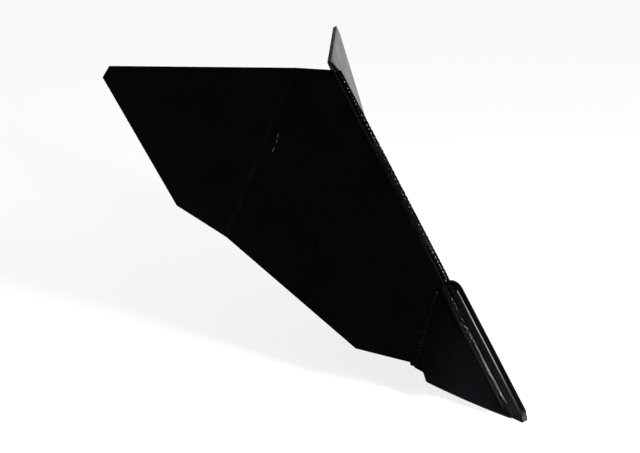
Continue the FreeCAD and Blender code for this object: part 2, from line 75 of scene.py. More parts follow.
# Camera of the photograph, in front of the ridger on its right-hand side, looking a little down
CAMERA_AZIMUTH = math.radians(-42.01)
CAMERA_ELEVATION = math.radians(20.0)
CAMERA_DISTANCE = 1.42
CAMERA_AIM = Vector((-0.0402, -0.0087, -0.0866))
IMAGE_WIDTH = 640
IMAGE_HEIGHT = 453
FOCAL_PIXELS = 1269
SENSOR_WIDTH = 36.0

# Points of the scratch on the right mouldboard, in the photograph's pixels
SCRATCH = [(278.5, 133.0), (276.7, 142.5), (272.5, 151.5)]

MM = 0.001
SEED = 5614


class RidgerPaint(bpy.types.PropertyGroup):
    """Black paint of the plates and the beads"""

    dark: FloatVectorProperty(
        name="Paint, dark", description="Darker tone of the black paint",
        default=(0.0003, 0.0003, 0.0004), min=0.0, max=1.0, subtype="COLOR")
    light: FloatVectorProperty(
        name="Paint, light", description="Lighter tone of the black paint",
        default=(0.0007, 0.0007, 0.0009), min=0.0, max=1.0, subtype="COLOR")
    inner: FloatProperty(
        name="Inside tone", description="How much paler the thin paint in the hollow is",
        default=12.0, min=1.0)
    smooth: FloatProperty(
        name="Glossiest", description="Roughness where the paint has flowed out well",
        default=0.21, min=0.0, max=1.0, subtype="FACTOR")
    rough: FloatProperty(
        name="Dullest", description="Roughness where the paint lies thin",
        default=0.29, min=0.0, max=1.0, subtype="FACTOR")
    plate_gloss: FloatProperty(
        name="Plate gloss", description="Specular level of the paint on the plates",
        default=0.06, min=0.0, max=1.0, subtype="FACTOR")
    point_gloss: FloatProperty(
        name="Point gloss", description="Specular level of the paint on the share plates and the point bar",
        default=0.03, min=0.0, max=1.0, subtype="FACTOR")
    bead_gloss: FloatProperty(
        name="Bead gloss", description="Specular level of the thicker paint on the weld beads",
        default=0.09, min=0.0, max=1.0, subtype="FACTOR")
    arris_gloss: FloatProperty(
        name="Arris gloss", description="Specular level of the thick paint on the bar's arrises",
        default=0.30, min=0.0, max=1.0, subtype="FACTOR")
    tip_gloss: FloatProperty(
        name="Tip gloss", description="Specular level of the paint on the bar's bevelled tip",
        default=0.65, min=0.0, max=1.0, subtype="FACTOR")
    dull: FloatProperty(
        name="Dull stretch", description="Roughness of the beads where the paint has sunk in",
        default=1.0, min=0.0, max=1.0, subtype="FACTOR")
    dull_reach: FloatProperty(
        name="Dull reach", description="Distance from a dull stretch's middle to full gloss",
        default=80 * MM, min=0.0, unit="LENGTH", subtype="DISTANCE", precision=4)
    scratch: FloatVectorProperty(
        name="Scratch", description="Colour of the scratch on the right mouldboard",
        default=(0.060, 0.060, 0.064), min=0.0, max=1.0, subtype="COLOR")
    scratch_width: FloatProperty(
        name="Scratch width", description="Width of the scratch",
        default=0.7 * MM, min=0.0, unit="LENGTH", subtype="DISTANCE", precision=4)


class RidgerEdges(bpy.types.PropertyGroup):
    """Rounding of the plates' edges"""

    plate_round: FloatProperty(
        name="Plate edges", description="Rounding of the cut plates' edges",
        default=0.6 * MM, min=0.0, unit="LENGTH", subtype="DISTANCE", precision=4)
    bar_round: FloatProperty(
        name="Bar arrises", description="Rounding of the rolled bar's arrises",
        default=1.4 * MM, min=0.0, unit="LENGTH", subtype="DISTANCE", precision=4)
    segments: IntProperty(
        name="Steps", description="Steps across a rounded edge", default=4, min=1, max=12)


class RidgerWelds(bpy.types.PropertyGroup):
    """Ripples, toes and spatter of the weld beads"""

    pitch: FloatProperty(
        name="Ripple pitch", description="Mean distance from one ripple to the next",
        default=4.2 * MM, min=0.5 * MM, unit="LENGTH", subtype="DISTANCE", precision=4)
    depth: FloatProperty(
        name="Ripple depth", description="Depth of the valleys between the ripples",
        default=0.75 * MM, min=0.0, unit="LENGTH", subtype="DISTANCE", precision=4)
    bow: FloatProperty(
        name="Ripple bow", description="How far a ripple's middle runs ahead of its ends",
        default=2.6 * MM, min=0.0, unit="LENGTH", subtype="DISTANCE", precision=4)
    step: FloatProperty(
        name="Mesh step", description="Distance between the bead's sections",
        default=0.45 * MM, min=0.1 * MM, unit="LENGTH", subtype="DISTANCE", precision=5)
    spatter: FloatProperty(
        name="Spatter spacing", description="Mean distance between spatter beads along a weld",
        default=14 * MM, min=1 * MM, unit="LENGTH", subtype="DISTANCE", precision=4)


class RidgerStage(bpy.types.PropertyGroup):
    """Floor, light and camera"""

    floor: FloatVectorProperty(
        name="Floor", description="Colour of the pale floor",
        default=(0.92, 0.92, 0.92), min=0.0, max=1.0, subtype="COLOR")
    fill: FloatProperty(
        name="Fill", description="Level of the soft light from all around", default=0.70, min=0.0)
    key: FloatProperty(
        name="Key", description="Power of the strip lamp above the front",
        default=35.0, min=0.0, unit="POWER")
    bead_light: FloatProperty(
        name="Bead light", description="Power of the small lamp above the bar bead on the right",
        default=0.3, min=0.0, unit="POWER")


# Finishes

# Noises in the paint: how many to a metre, and how detailed
CLOUDS = (16.0, 4.0)
PATCHES = (45.0, 3.0)
SPECKLES = (260.0, 2.0)

# Unevenness of the paint: its noise, then the height and the strength of its bump
WAVES = ((28.0, 1.0), 0.3 * MM, 0.03)
PEEL = ((620.0, 2.0), 0.05 * MM, 0.12)
DRAG_LINES = ((900.0, 3.0), 0.12 * MM, 0.1)

DRAG_SQUEEZE = 0.06
DARK_CLOUD = 0.35
LIGHT_CLOUD = 0.68

# Share of a dull stretch's reach in which the paint has no gloss at all
DULL_CORE = 0.6

# Where the ridge bead's dull stretch lies, from its lower end to its upper one
RIDGE_DULL_PLACE = 0.4

# Colour sockets of the Mix node, which has others of the same names
MIX_FIRST = 6
MIX_SECOND = 7
MIX_RESULT = 2


def new_material(name):
    material = bpy.data.materials.new(name)
    material.use_nodes = True
    material.node_tree.nodes.clear()
    return material, material.node_tree


def add(tree, kind, **settings):
    """Node of a kind, with its inputs set by name and its own settings."""
    node = tree.nodes.new(kind)
    for name, value in settings.items():
        label = name.replace("_", " ")
        if label in node.inputs:
            node.inputs[label].default_value = value
        else:
            setattr(node, name, value)
    return node


def noise_of(tree, coordinates, scale, detail):
    node = add(tree, "ShaderNodeTexNoise", Scale=scale, Detail=detail)
    tree.links.new(coordinates, node.inputs["Vector"])
    return node.outputs["Fac"]


def between(tree, source, low, high, start=0.3, end=0.7):
    """Source, a noise or a distance, brought from start..end to low..high."""
    node = add(tree, "ShaderNodeMapRange", From_Min=start, From_Max=end, To_Min=low, To_Max=high)
    tree.links.new(source, node.inputs["Value"])
    return node.outputs["Result"]


def tones_of(tree, source, tones):
    """Colour that follows the source; tones are pairs of a place on it and the colour there."""
    ramp = add(tree, "ShaderNodeValToRGB")
    stops = ramp.color_ramp.elements
    stops.remove(stops[1])
    stops[0].position = tones[0][0]
    stops[0].color = (*tones[0][1], 1.0)
    for place, colour in tones[1:]:
        stops.new(place).color = (*colour, 1.0)
    tree.links.new(source, ramp.inputs["Fac"])
    return ramp.outputs["Color"]


def uneven(tree, coordinates, kind, share=1.0, under=None):
    """Normal of a share of one kind of unevenness, laid over another's if it has one under it."""
    noise_kind, height, strength = kind
    node = add(tree, "ShaderNodeBump", Strength=strength * share, Distance=height)
    tree.links.new(noise_of(tree, coordinates, *noise_kind), node.inputs["Height"])
    if under:
        tree.links.new(under, node.inputs["Normal"])
    return node.outputs["Normal"]


def point_math(tree, operation, first, second):
    """Vector maths on two sockets, points or numbers, whichever they are."""
    node = add(tree, "ShaderNodeVectorMath", operation=operation)
    for number, value in enumerate((first, second)):
        target = node.inputs["Scale" if operation == "SCALE" and number else number]
        if isinstance(value, bpy.types.NodeSocket):
            tree.links.new(value, target)
        else:
            target.default_value = value
    return node.outputs["Value" if operation in ("DOT_PRODUCT", "DISTANCE") else "Vector"]


def number_math(tree, operation, first, second):
    node = add(tree, "ShaderNodeMath", operation=operation)
    tree.links.new(first, node.inputs[0])
    tree.links.new(second, node.inputs[1])
    return node.outputs[0]


def scratch_mask(tree, place, points, width):
    """1 along a scuffed line through the points, fading at its sides and broken up along it."""
    away = None
    for start, end in zip(points, points[1:]):
        line = end - start
        from_start = point_math(tree, "SUBTRACT", place, start)
        along = point_math(tree, "DOT_PRODUCT", from_start, line / line.length_squared)
        held = add(tree, "ShaderNodeClamp")
        tree.links.new(along, held.inputs["Value"])
        nearest = point_math(tree, "SCALE", line, held.outputs["Result"])
        off = point_math(tree, "DISTANCE", from_start, nearest)
        away = number_math(tree, "MINIMUM", away, off) if away else off
    side = between(tree, away, 1.0, 0.0, 0.2 * width, 0.5 * width)
    broken = between(tree, noise_of(tree, place, *SPECKLES), 0.05, 1.0, 0.4, 0.56)
    return number_math(tree, "MULTIPLY", side, broken)


def black_paint(name, gloss, cut_lines=False, peel=1.0, rougher=(1.0, 1.0), tone=1.0,
                scratch=None, dull=None):
    """Sprayed black gloss paint with a fine orange peel, cloudy in tone and gloss.

    cut_lines adds the thermal cut's drag lines, which the edge's own map carries across the plate.
    Beside the plates' paint, peel is how deep its orange peel is, rougher how rough its glossiest and
    dullest patches are, and tone how pale it is. scratch holds the points of a scuffed line, and dull the
    middle of a stretch that has lost its gloss.
    """
    found = bpy.data.materials.get(name)
    if found:
        return found
    paint = bpy.context.scene.ridger_paint
    material, tree = new_material(name)
    place = add(tree, "ShaderNodeTexCoord").outputs["Object"]
    shader = add(tree, "ShaderNodeBsdfPrincipled")
    shader.inputs["Specular IOR Level"].default_value = gloss
    clouds = noise_of(tree, place, *CLOUDS)
    tones = ((DARK_CLOUD, tone * Vector(paint.dark)), (LIGHT_CLOUD, tone * Vector(paint.light)))
    colour = tones_of(tree, clouds, tones)
    if scratch:
        scuffed = add(tree, "ShaderNodeMix", data_type="RGBA")
        tree.links.new(scratch_mask(tree, place, scratch, paint.scratch_width), scuffed.inputs["Factor"])
        tree.links.new(colour, scuffed.inputs[MIX_FIRST])
        scuffed.inputs[MIX_SECOND].default_value = (*paint.scratch, 1.0)
        colour = scuffed.outputs[MIX_RESULT]
    tree.links.new(colour, shader.inputs["Base Color"])
    patches = noise_of(tree, place, *PATCHES)
    roughness = between(tree, patches, rougher[0] * paint.smooth, rougher[1] * paint.rough)
    if dull:
        away = point_math(tree, "DISTANCE", place, dull)
        sunk = between(tree, away, paint.dull, 0.0, DULL_CORE * paint.dull_reach, paint.dull_reach)
        broken = between(tree, noise_of(tree, place, *SPECKLES), 0.0, 1.0, 0.40, 0.46)
        roughness = number_math(tree, "MAXIMUM", roughness, number_math(tree, "MULTIPLY", sunk, broken))
    tree.links.new(roughness, shader.inputs["Roughness"])
    skin = uneven(tree, place, WAVES, peel)
    skin = uneven(tree, place, PEEL, peel, skin)
    if cut_lines:
        lines = add(tree, "ShaderNodeUVMap", uv_map="cut_edge").outputs["UV"]
        drag = add(tree, "ShaderNodeMapping", Scale=(1.0, DRAG_SQUEEZE, 1.0))
        tree.links.new(lines, drag.inputs["Vector"])
        skin = uneven(tree, drag.outputs["Vector"], DRAG_LINES, under=skin)
    tree.links.new(skin, shader.inputs["Normal"])
    output = add(tree, "ShaderNodeOutputMaterial")
    tree.links.new(shader.outputs["BSDF"], output.inputs["Surface"])
    return material


def plate_paint():
    return black_paint("black_paint_plate", bpy.context.scene.ridger_paint.plate_gloss)


def point_paint():
    """Smoother paint of the share plates and the bar."""
    return black_paint("black_paint_point", bpy.context.scene.ridger_paint.point_gloss, rougher=(0.7, 0.7))


def scratched_paint():
    gloss = bpy.context.scene.ridger_paint.plate_gloss
    return black_paint("black_paint_scratched", gloss, scratch=[on_plates(pixel) for pixel in SCRATCH])


def inner_paint():
    """Thin, duller paint where the spray hardly reaches, in the hollow between the wings."""
    paint = bpy.context.scene.ridger_paint
    return black_paint("black_paint_inside", paint.plate_gloss, rougher=(3.0, 3.0), tone=paint.inner)


def edge_paint():
    gloss = bpy.context.scene.ridger_paint.plate_gloss
    return black_paint("black_paint_cut_edge", gloss, cut_lines=True, rougher=(1.6, 1.6))


def arris_paint():
    return black_paint("black_paint_arris", bpy.context.scene.ridger_paint.arris_gloss, peel=0.4)


def tip_paint():
    return black_paint("black_paint_tip", bpy.context.scene.ridger_paint.tip_gloss, peel=0.4)


def along_bead(node, share):
    """Point in the ridger's middle plane, level with a bead's lower end at 0 and its upper end at 1."""
    low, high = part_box(node)
    point = Vector(low).lerp(Vector(high), share)
    point.x = 0.0
    return point


def thick_paint(name, dull):
    """Thick paint that has flowed out glossy on the outer beads, but for one stretch."""
    gloss = bpy.context.scene.ridger_paint.bead_gloss
    return black_paint(name, gloss, peel=0.6, rougher=(0.3, 0.6), dull=dull)


def ridge_bead_paint():
    return thick_paint("black_paint_bead", along_bead("ridge_weld", RIDGE_DULL_PLACE))


def bar_bead_paint():
    """The same paint on the bar's beads, dull on their upper half."""
    return thick_paint("black_paint_bar_bead", along_bead("bar_weld_right", 1.0))


# Plates

SAME_POINT = 0.001 * MM
FLAT_WITHIN = math.radians(0.3)
ROUNDED_FROM = math.radians(25)

# Cosine of the angle between two faces that look opposite ways
OPPOSITE = -0.999

# Most that a cut edge's width may be of the plate's thickness
EDGE_WIDTH = 1.01

# How much a face of the hollow looks backwards
INNER_FACING = 0.2

# Straight arrises of the bar are longer than this
STRAIGHT_ARRIS = 30 * MM


def keep(piece, node):
    """Puts a finished piece in the scene in place of its solid."""
    bpy.context.collection.objects.link(piece)
    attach(piece, BODY)
    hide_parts(node)
    return piece


def flatten(form):
    """Joins the solid's triangles to whole flat faces."""
    bmesh.ops.remove_doubles(form, verts=form.verts, dist=SAME_POINT)
    bmesh.ops.dissolve_limit(form, angle_limit=FLAT_WITHIN, verts=form.verts, edges=form.edges)


def plate_thickness(form):
    """Distance between the plate's two largest faces."""
    largest = max(form.faces, key=lambda face: face.calc_area())
    normal = largest.normal
    backs = [face for face in form.faces if face.normal.dot(normal) < OPPOSITE]
    back = max(backs, key=lambda face: face.calc_area())
    return (largest.verts[0].co - back.verts[0].co).dot(normal)


def is_cut_edge(face, thickness):
    """A cut edge is a flat strip about as wide as the plate is thick."""
    half_round = sum(edge.calc_length() for edge in face.edges) / 2
    return face.calc_area() / half_round < EDGE_WIDTH * thickness


def map_cut_edges(form, cut_faces):
    """Map in metres for the cut edges: along the edge, then across the plate."""
    layer = form.loops.layers.uv.new("cut_edge")
    for face in cut_faces:
        longest = max(face.edges, key=lambda edge: edge.calc_length())
        along = (longest.verts[1].co - longest.verts[0].co).normalized()
        across = face.normal.cross(along)
        for loop in face.loops:
            loop[layer].uv = (loop.vert.co.dot(along), loop.vert.co.dot(across))


def solid_form(node):
    """A solid's own faces, each whole and smooth."""
    form = bmesh.new()
    form.from_mesh(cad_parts[node].data)
    flatten(form)
    form.normal_update()
    for face in form.faces:
        face.smooth = True
    return form


def rounded_piece(form, node, name, paints, width, edge_slot=-1):
    """Piece of a plate's form, its edges rounded; edge_slot is the rounding's paint, at -1 the faces' own."""
    mesh = bpy.data.meshes.new(name)
    form.to_mesh(mesh)
    form.free()
    for paint in paints:
        mesh.materials.append(paint())
    piece = keep(bpy.data.objects.new(name, mesh), node)
    rounded = piece.modifiers.new("rounded_edges", "BEVEL")
    rounded.width = width
    rounded.segments = bpy.context.scene.ridger_edges.segments
    rounded.limit_method = "ANGLE"
    rounded.angle_limit = ROUNDED_FROM
    rounded.harden_normals = True
    rounded.material = edge_slot
    return piece


def make_plate(node, name, front=plate_paint, back=plate_paint):
    """Cut plate: its edges are drag-lined, and the faces that look backwards have their own paint."""
    form = solid_form(node)
    thickness = plate_thickness(form)
    cut_faces = [face for face in form.faces if is_cut_edge(face, thickness)]
    map_cut_edges(form, cut_faces)
    paints = (front, edge_paint, back)
    for face in form.faces:
        face.material_index = 2 if face.normal.y > INNER_FACING else 0
    for face in cut_faces:
        face.material_index = 1
    rounded_piece(form, node, name, paints, bpy.context.scene.ridger_edges.plate_round)


def make_bar(node, name):
    """Rolled bar, on whose straight arrises and bevelled tip the paint shines more than on its sides."""
    form = solid_form(node)
    min(form.faces, key=lambda face: face.normal.y).material_index = 2
    paints = (point_paint, arris_paint, tip_paint)
    piece = rounded_piece(form, node, name, paints, bpy.context.scene.ridger_edges.bar_round, 1)
    graph = bpy.context.evaluated_depsgraph_get()
    mesh = bpy.data.meshes.new_from_object(piece.evaluated_get(graph))
    piece.modifiers.clear()
    piece.data = mesh
    for face in mesh.polygons:
        corners = [mesh.vertices[number].co for number in face.vertices]
        longest = max((corner - corners[number - 1]).length for number, corner in enumerate(corners))
        if face.material_index == 1 and longest < STRAIGHT_ARRIS:
            face.material_index = 0


# Weld beads

# Cosine of the angle up to which a bead's faces lie in one plane
SAME_PLANE = 0.9998

# A bead whose second flank is smaller than this share of its first one has a single flat underside
LONE_FLANK = 0.6
ON_UNDERSIDE = 0.01 * MM

# Ripples: their lengths and the valleys' depths beside the mean, and how far they lean and round
FIRST_RIPPLE = (1.0, 1.6)
RIPPLE_LENGTHS = (0.6, 1.5)
VALLEY_DEPTHS = (0.3, 1.0)
RIPPLE_LEAN = 0.72
RIPPLE_ROUNDING = 0.6

HALF_STEPS = 9
FEWEST_ROWS = 8
START_LENGTH = 3.5 * MM
CRATER_LENGTH = 4.0 * MM
CRATER_DEPTH = 0.35
CRATER_WIDTH = 0.6

# Lengths of the unevenness along a bead, and where in the noise each kind is read
NOISE_SPAN = 50
TOE_WANDER = (6 * MM, 3.0)
TOE_JITTER = (1.7 * MM, 7.0)
CROWN_SWELL = (9 * MM, 11.0)
FINE_GRAIN = (0.9 * MM, 5, 4.0)

# A toe's mean reach as a share of the leg, how it wanders, and how the valleys draw it in
TOE_REACH = 0.94
TOE_WANDERING = 0.045
TOE_DRAWN_IN = 0.05
BOW_WANDERING = 0.2

# The crown's mean rise as a share of the throat's, its swell, and the ripples' greatest depth beside it
CROWN_RISE = 0.97
CROWN_SWELLING = 0.03
DEEPEST_RIPPLE = 0.45
FINE_DEPTH = 0.10

# What is left of the leg and of the rise at a bead's very ends
END_LEG = 0.55
END_RISE = 0.25

# Spatter: its distance from the toe and its radius in millimetres, its place along the bead, its height
SPATTER_OUT = (1.0, 9.0)
SPATTER_NEARER = (0.3, 1.0)
SPATTER_RADIUS = (0.22, 0.5)
SPATTER_ALONG = (0.04, 0.96)
SPATTER_HEIGHT = 0.7
SEEK_FROM = 4 * MM
SEEK_LENGTH = 14 * MM
SEEK_FACING = 0.4


def read_bead(node):
    """A bead's corner, run and size, read from its solid.

    Its flat flanks lie on the two plates that it joins, and meet in its root. A bead laid over a flush
    seam has one flat underside instead.
    """
    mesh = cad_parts[node].data
    planes = []
    for face in sorted(mesh.polygons, key=lambda face: -face.area):
        same = next((plane for plane in planes if plane[1].dot(face.normal) > SAME_PLANE), None)
        if same:
            same[0] += face.area
        else:
            planes.append([face.area, face.normal.copy()])
    planes.sort(key=lambda plane: -plane[0])
    (first_area, first), (second_area, second) = planes[:2]
    points = [vertex.co for vertex in mesh.vertices]
    if second_area < LONE_FLANK * first_area:
        middle = -first
        half_corner = math.pi / 2
        low = min(point.dot(middle) for point in points)
        base = numpy.array([point for point in points if point.dot(middle) < low + ON_UNDERSIDE])
        run = Vector(numpy.linalg.svd(base - base.mean(axis=0))[2][0])
    else:
        middle = -(first + second).normalized()
        half_corner = (math.pi - first.angle(second)) / 2
        run = first.cross(second).normalized()
    if run.z > 0:
        run = -run
    side = run.cross(middle)
    across = [point.dot(side) for point in points]
    height = [point.dot(middle) for point in points]
    forward = [point.dot(run) for point in points]
    root = middle * min(height) + side * (min(across) + max(across)) / 2 + run * min(forward)
    return {
        "root": root, "run": run, "middle": middle, "side": side, "half_corner": half_corner,
        "leg": (max(across) - min(across)) / 2 / math.sin(half_corner),
        "throat": max(height) - min(height), "length": max(forward) - min(forward),
    }


def ripple_marks(length, pitch, draw):
    """Places of the valleys between the ripples along a bead, unevenly spaced, and how deep each is."""
    marks = [(-pitch * draw.uniform(*FIRST_RIPPLE), 1.0)]
    while marks[-1][0] < length + 2 * pitch:
        next_mark = marks[-1][0] + pitch * draw.uniform(*RIPPLE_LENGTHS)
        marks.append((next_mark, draw.uniform(*VALLEY_DEPTHS)))
    return marks


def ripple_height(place, marks):
    """From 0 in the deepest valleys between two ripples to 1 on a crest, steeper at its leading edge."""
    for (start, start_depth), (end, end_depth) in zip(marks, marks[1:]):
        if place < end:
            share = min(1.0, max(0.0, (place - start) / (end - start)))
            valley = start_depth + (end_depth - start_depth) * share
            return 1 - valley * (1 - abs(math.sin(math.pi * share ** RIPPLE_LEAN)) ** RIPPLE_ROUNDING)
    return 0.0


def bead_half(toe_out, toe_side, throat):
    """Circle through the crown and a toe: how far its centre lies behind the root, its radius and angle."""
    sunk = (toe_out ** 2 + toe_side ** 2 - throat ** 2) / (2 * (throat - toe_out))
    return sunk, throat + sunk, math.atan2(toe_side, toe_out + sunk)


def waver(offset, place, length, lane, layer=0.0):
    """Smooth noise of about a length along a bead, different in every lane and layer."""
    return noise.noise(offset + Vector((place / length, lane, layer)))


def make_bead(node, name, pitch_share=1.0, paint=plate_paint, fuller=0.0, lap=0.0, further=0.0):
    """Rippled bead along the solid's corner, with wandering toes, a blunt start and a crater at its end.

    fuller raises its crown, lap takes its toes over the edges of the two plates, and further lengthens it.
    """
    welds = bpy.context.scene.ridger_welds
    bead = read_bead(node)
    draw = random.Random(f"{SEED} {node}")
    offset = Vector((draw.uniform(0, NOISE_SPAN), draw.uniform(0, NOISE_SPAN), 0))
    length, leg, throat = bead["length"] + further, bead["leg"], bead["throat"] + fuller
    half_corner = bead["half_corner"]
    toe_out = leg * math.cos(half_corner) - lap * math.sin(half_corner)
    pitch = welds.pitch * pitch_share
    marks = ripple_marks(length, pitch, draw)
    depth = min(welds.depth, DEEPEST_RIPPLE * (throat - toe_out))
    rows = max(FEWEST_ROWS, math.ceil(length / welds.step))
    form = bmesh.new()
    rings = []
    for row in range(rows + 1):
        place = length * row / rows
        start = min(1.0, place / START_LENGTH)
        stop = min(1.0, (length - place) / START_LENGTH)
        full = math.sqrt(1 - (1 - min(start, stop)) ** 2)
        wave = ripple_height(place, marks)
        ring = [[], []]
        for number, way in enumerate((-1, 1)):
            wander = waver(offset, place, TOE_WANDER[0], way * TOE_WANDER[1])
            wander += 0.5 * waver(offset, place, TOE_JITTER[0], way * TOE_JITTER[1])
            reached = TOE_REACH + TOE_WANDERING * wander - TOE_DRAWN_IN * (1 - wave)
            toe_leg = leg * reached * (END_LEG + (1 - END_LEG) * full)
            swell = 1 + CROWN_SWELLING * waver(offset, place, *CROWN_SWELL)
            risen = min(1.0, CROWN_RISE * swell)
            rise = (throat - toe_out) * risen * (END_RISE + (1 - END_RISE) * full)
            toe = (toe_leg * math.cos(half_corner) - lap * full * math.sin(half_corner),
                   toe_leg * math.sin(half_corner) + lap * full * math.cos(half_corner))
            sunk, radius, reach = bead_half(*toe, toe[0] + rise)
            for step in range(HALF_STEPS + 1):
                turn = step / HALF_STEPS
                ahead = place + welds.bow * turn ** 2 * (1 - BOW_WANDERING * wander)
                fade = (1 - turn ** 5) * full
                crest = ripple_height(ahead, marks)
                grain_length, grain_lanes, grain_layer = FINE_GRAIN
                fine = waver(offset, ahead, grain_length, turn * grain_lanes * way, grain_layer)
                cut = (depth * (1 - crest) + FINE_DEPTH * depth * fine) * fade
                crater = max(0.0, 1 - abs(length - CRATER_LENGTH - place) / CRATER_LENGTH)
                crater *= max(0.0, 1 - (turn / CRATER_WIDTH) ** 2)
                cut += CRATER_DEPTH * (throat - toe_out) * crater
                angle = reach * turn
                away = radius - max(0.0, cut)
                ring[number].append(bead["root"] + bead["run"] * place
                                    + bead["middle"] * (away * math.cos(angle) - sunk)
                                    + bead["side"] * (way * away * math.sin(angle)))
        points = ring[0][::-1] + ring[1][1:]
        points.append(bead["root"] + bead["run"] * place)
        rings.append([form.verts.new(point) for point in points])
    close_rings(form, rings)
    add_spatter(form, bead, draw, welds.spatter)
    bmesh.ops.recalc_face_normals(form, faces=form.faces)
    for face in form.faces:
        face.smooth = len(face.verts) < 6
    mesh = bpy.data.meshes.new(name)
    form.to_mesh(mesh)
    form.free()
    mesh.materials.append(paint())
    keep(bpy.data.objects.new(name, mesh), node)


def close_rings(form, rings):
    """Skin over a row of rings, closed by a cap at each end."""
    count = len(rings[0])
    for ring, after in zip(rings, rings[1:]):
        for number in range(count):
            beside = (number + 1) % count
            form.faces.new((ring[number], ring[beside], after[beside], after[number]))
    form.faces.new(rings[0][::-1])
    form.faces.new(rings[-1])


def plate_surfaces():
    """Search tree over all the plates' solids."""
    points, faces = [], []
    for node in PLATE_NODES:
        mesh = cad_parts[node].data
        first = len(points)
        points += [vertex.co.copy() for vertex in mesh.vertices]
        faces += [[first + number for number in face.vertices] for face in mesh.polygons]
    return BVHTree.FromPolygons(points, faces)


SURFACES = plate_surfaces()


def camera_direction():
    """From the camera's aim to the camera."""
    return Vector((math.sin(CAMERA_AZIMUTH) * math.cos(CAMERA_ELEVATION),
                   -math.cos(CAMERA_AZIMUTH) * math.cos(CAMERA_ELEVATION),
                   math.sin(CAMERA_ELEVATION)))


def on_plates(pixel):
    """Point of the plates that the photograph shows at a pixel."""
    direction = camera_direction()
    across, down = pixel[0] - IMAGE_WIDTH / 2, pixel[1] - IMAGE_HEIGHT / 2
    ray = (-direction).to_track_quat("-Z", "Y") @ Vector((across, -down, -FOCAL_PIXELS))
    spot = SURFACES.ray_cast(CAMERA_AIM + direction * CAMERA_DISTANCE, ray.normalized())[0]
    if spot is None:
        raise RuntimeError(f"no plate at pixel {pixel}")
    return spot


def add_spatter(form, bead, draw, spacing):
    """Small round drops beside the bead, sunk in the plates."""
    toe = bead["leg"] * math.sin(bead["half_corner"])
    for _ in range(int(bead["length"] / spacing)):
        way = draw.choice((-1, 1))
        out = toe + draw.uniform(*SPATTER_OUT) * MM * draw.uniform(*SPATTER_NEARER)
        along = draw.uniform(*SPATTER_ALONG) * bead["length"]
        radius = draw.uniform(*SPATTER_RADIUS) * MM
        over = bead["root"] + bead["run"] * along + bead["side"] * way * out
        over += bead["middle"] * (bead["throat"] + SEEK_FROM)
        spot, normal, _, _ = SURFACES.ray_cast(over, -bead["middle"], SEEK_LENGTH)
        if spot is None or normal.dot(bead["middle"]) < SEEK_FACING:
            continue
        lie = normal.to_track_quat("Z", "Y").to_matrix().to_4x4()
        place = Matrix.Translation(spot) @ lie @ Matrix.Diagonal((1.0, 1.0, SPATTER_HEIGHT, 1.0))
        bmesh.ops.create_icosphere(form, subdivisions=2, radius=radius, matrix=place)


# Operators

class RIDGER_OT_mouldboards(bpy.types.Operator):
    """Make the two bent mouldboards"""

    bl_idname = "ridger.mouldboards"
    bl_label = "Mouldboards"

    def execute(self, context):
        make_plate("wing_left", "mouldboard_left", back=inner_paint)
        make_plate("wing_right", "mouldboard_right", front=scratched_paint, back=inner_paint)
        return {"FINISHED"}


class RIDGER_OT_shares(bpy.types.Operator):
    """Make the two share plates"""

    bl_idname = "ridger.shares"
    bl_label = "Share plates"

    def execute(self, context):
        for side in ("left", "right"):
            make_plate(f"share_{side}", f"share_plate_{side}", point_paint, inner_paint)
        return {"FINISHED"}


class RIDGER_OT_point_bar(bpy.types.Operator):
    """Make the point bar"""

    bl_idname = "ridger.point_bar"
    bl_label = "Point bar"

    def execute(self, context):
        make_bar("point_bar", "point_bar_rolled")
        return {"FINISHED"}


class RIDGER_OT_tine_plate(bpy.types.Operator):
    """Make the tine plate and the cross stay between the wings"""

    bl_idname = "ridger.tine_plate"
    bl_label = "Tine plate and cross stay"

    def execute(self, context):
        make_plate("tine_plate", "tine_seat_plate", inner_paint, inner_paint)
        make_plate("cross_stay", "cross_stay_strip", inner_paint, inner_paint)
        return {"FINISHED"}


class RIDGER_OT_ridge_weld(bpy.types.Operator):
    """Lay the bead along the ridge"""

    bl_idname = "ridger.ridge_weld"
    bl_label = "Ridge weld"

    def execute(self, context):
        make_bead("ridge_weld", "ridge_bead", 1.05, ridge_bead_paint,
                  fuller=1.5 * MM, lap=1.5 * MM, further=6 * MM)
        return {"FINISHED"}


class RIDGER_OT_share_welds(bpy.types.Operator):
    """Lay the beads beside the point bar, behind the shares and over the share seams"""

    bl_idname = "ridger.share_welds"
    bl_label = "Share welds"

    def execute(self, context):
        for side in ("left", "right"):
            make_bead(f"bar_weld_{side}", f"bar_bead_{side}", 0.95, bar_bead_paint, fuller=2.0 * MM)
            make_bead(f"back_weld_{side}", f"back_bead_{side}", 0.9)
            make_bead(f"seam_weld_{side}", f"seam_bead_{side}", 0.9, point_paint)
        return {"FINISHED"}


class RIDGER_OT_inner_welds(bpy.types.Operator):
    """Lay the beads of the tine plate and the cross stay"""

    bl_idname = "ridger.inner_welds"
    bl_label = "Inner welds"

    def execute(self, context):
        for side in ("left", "right"):
            make_bead(f"tine_weld_{side}", f"tine_bead_{side}")
            make_bead(f"stay_weld_{side}", f"stay_bead_{side}")
            make_bead(f"stay_front_weld_{side}", f"stay_front_bead_{side}")
        return {"FINISHED"}


# Stage

FLOOR_RADIUS = 16.0
FLOOR_CORNERS = 96
FLOOR_GAP = 0.5 * MM
FLOOR_GLOW = 0.8

# What is seen of the studio, from the floor's level up: the direction's height and the tone there
STUDIO_TONES = ((0.02, (1.0, 1.0, 1.0)), (0.09, (0.14, 0.14, 0.15)), (0.30, (0.10, 0.10, 0.11)))

